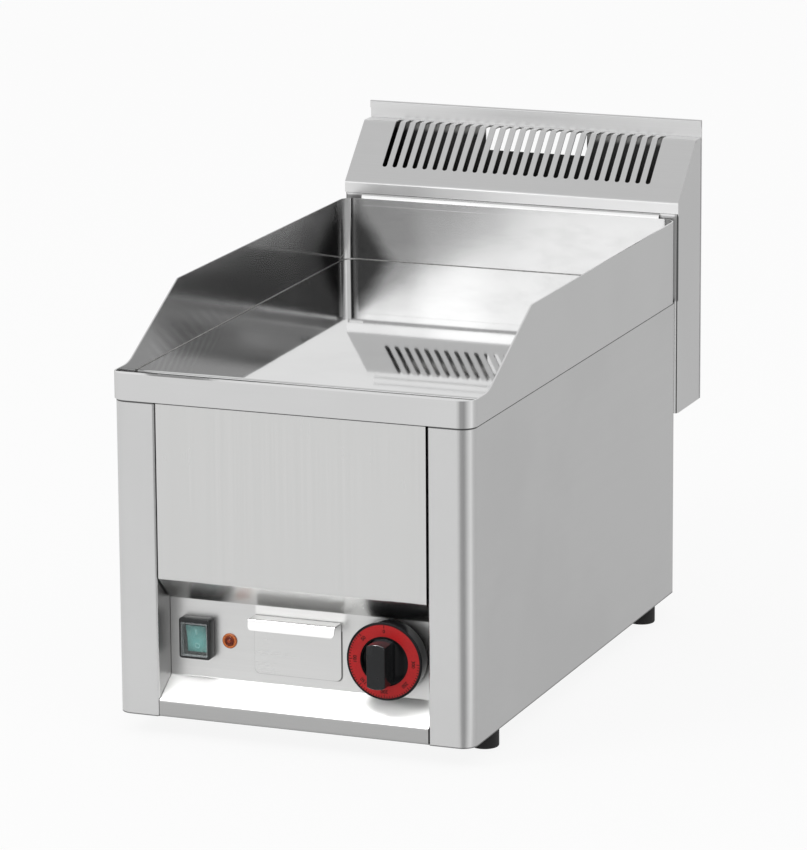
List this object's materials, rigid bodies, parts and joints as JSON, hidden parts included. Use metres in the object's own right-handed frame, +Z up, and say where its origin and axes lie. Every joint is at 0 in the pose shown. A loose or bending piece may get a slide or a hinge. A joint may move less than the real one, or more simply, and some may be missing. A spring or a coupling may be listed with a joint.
{
  "type": "flat top griddle",
  "caption": "Counter-top flat top griddle: mirror plate in a splash-walled pan, grease drawer, dial knob, rocker switch and slotted rear flue.",
  "frame": {"origin": "middle of the bounding box on the counter plane under the feet", "axes": "+Z up, +X to the right seen from the front, -Y towards the cook; the flue is at +Y"},
  "size_m": [0.332, 0.6256, 0.456],
  "materials": {
    "casing_steel": "fine satin stainless sheet",
    "control_steel": "fine satin stainless sheet",
    "pan_steel": "satin stainless sheet, welded and dressed at the corners",
    "plate_steel": "ground and mirror finished cooking face",
    "flue_steel": "fine satin stainless sheet",
    "drawer_steel": "fine satin stainless sheet",
    "zinc_steel": "zinc plated, dull",
    "element_sheath": "heat-darkened sheath",
    "fibre_mat": "loose mineral fibre",
    "ceramic_white": "matt ceramic and moulding compound",
    "copper_tube": "drawn copper, slightly dulled",
    "screw_steel": "bright zinc plated",
    "knob_black": "moulded, half gloss",
    "dial_red": "printed ring, satin",
    "switch_black": "moulded, half gloss",
    "rocker_teal": "moulded, glossy",
    "clear_cover": "thin clear moulding",
    "lamp_amber": "moulded amber lens",
    "gland_black": "matt moulding",
    "stud_brass": "turned brass",
    "foot_rubber": "moulded, matt"
  },
  "bodies": {
    "body": {"left_side_panel": "casing_steel", "right_side_panel": "casing_steel", "front_panel": "casing_steel", "control_panel": "control_steel", "base_plate": "zinc_steel", "rear_panel": "casing_steel", "griddle_pan": "pan_steel", "griddle_plate": "plate_steel", "grease_gutter": "pan_steel", "drain_spout": "pan_steel", "heating_element_left": "element_sheath", "heating_element_middle": "element_sheath", "heating_element_right": "element_sheath", "plate_studs": "zinc_steel", "element_clamps": "zinc_steel", "clamp_nuts": "zinc_steel", "insulation_mat": "fibre_mat", "insulation_tray": "zinc_steel", "thermostat_body": "ceramic_white", "thermostat_bulb": "copper_tube", "thermostat_capillary": "copper_tube", "bulb_clip": "zinc_steel", "thermostat_screws": "screw_steel", "switch_frame": "switch_black", "switch_body": "switch_black", "switch_cover": "clear_cover", "lamp_lens": "lamp_amber", "lamp_body": "switch_black", "lamp_nut": "switch_black", "drawer_guide": "zinc_steel", "flue_cover": "flue_steel", "flue_cheek_left": "flue_steel", "flue_cheek_right": "flue_steel", "flue_back": "flue_steel", "flue_front_wall": "flue_steel", "flue_spacers": "zinc_steel", "flue_screws": "screw_steel", "rear_screws": "screw_steel", "safety_limiter": "ceramic_white", "limiter_cap": "switch_black", "terminal_block": "ceramic_white", "cable_gland": "gland_black", "gland_nut": "gland_black", "earth_stud": "stud_brass", "foot_front_left": "foot_rubber", "foot_front_right": "foot_rubber", "foot_rear_left": "foot_rubber", "foot_rear_right": "foot_rubber", "foot_screws": "screw_steel", "foot_nuts": "screw_steel"},
    "knob": {"knob_skirt": "knob_black", "dial_ring": "dial_red", "knob_grip": "knob_black", "thermostat_shaft": "zinc_steel"},
    "rocker": {"switch_rocker": "rocker_teal"},
    "drawer": {"drawer_front": "drawer_steel", "drawer_tray": "drawer_steel"}
  },
  "joints": [
    {"name": "knob_turn", "type": "hinge", "parent": "body", "child": "knob", "pos_m": [0.0826, -0.27825, 0.0864], "axis": [0, 1, 0], "range_deg": [0, 270]},
    {"name": "rocker_tilt", "type": "hinge", "parent": "body", "child": "rocker", "pos_m": [-0.0981, -0.27425, 0.085], "axis": [-1, 0, 0], "range_deg": [0, 18]},
    {"name": "drawer_slide", "type": "slide", "parent": "body", "child": "drawer", "axis": [0, -1, 0], "range_m": [0, 0.22]}
  ]
}
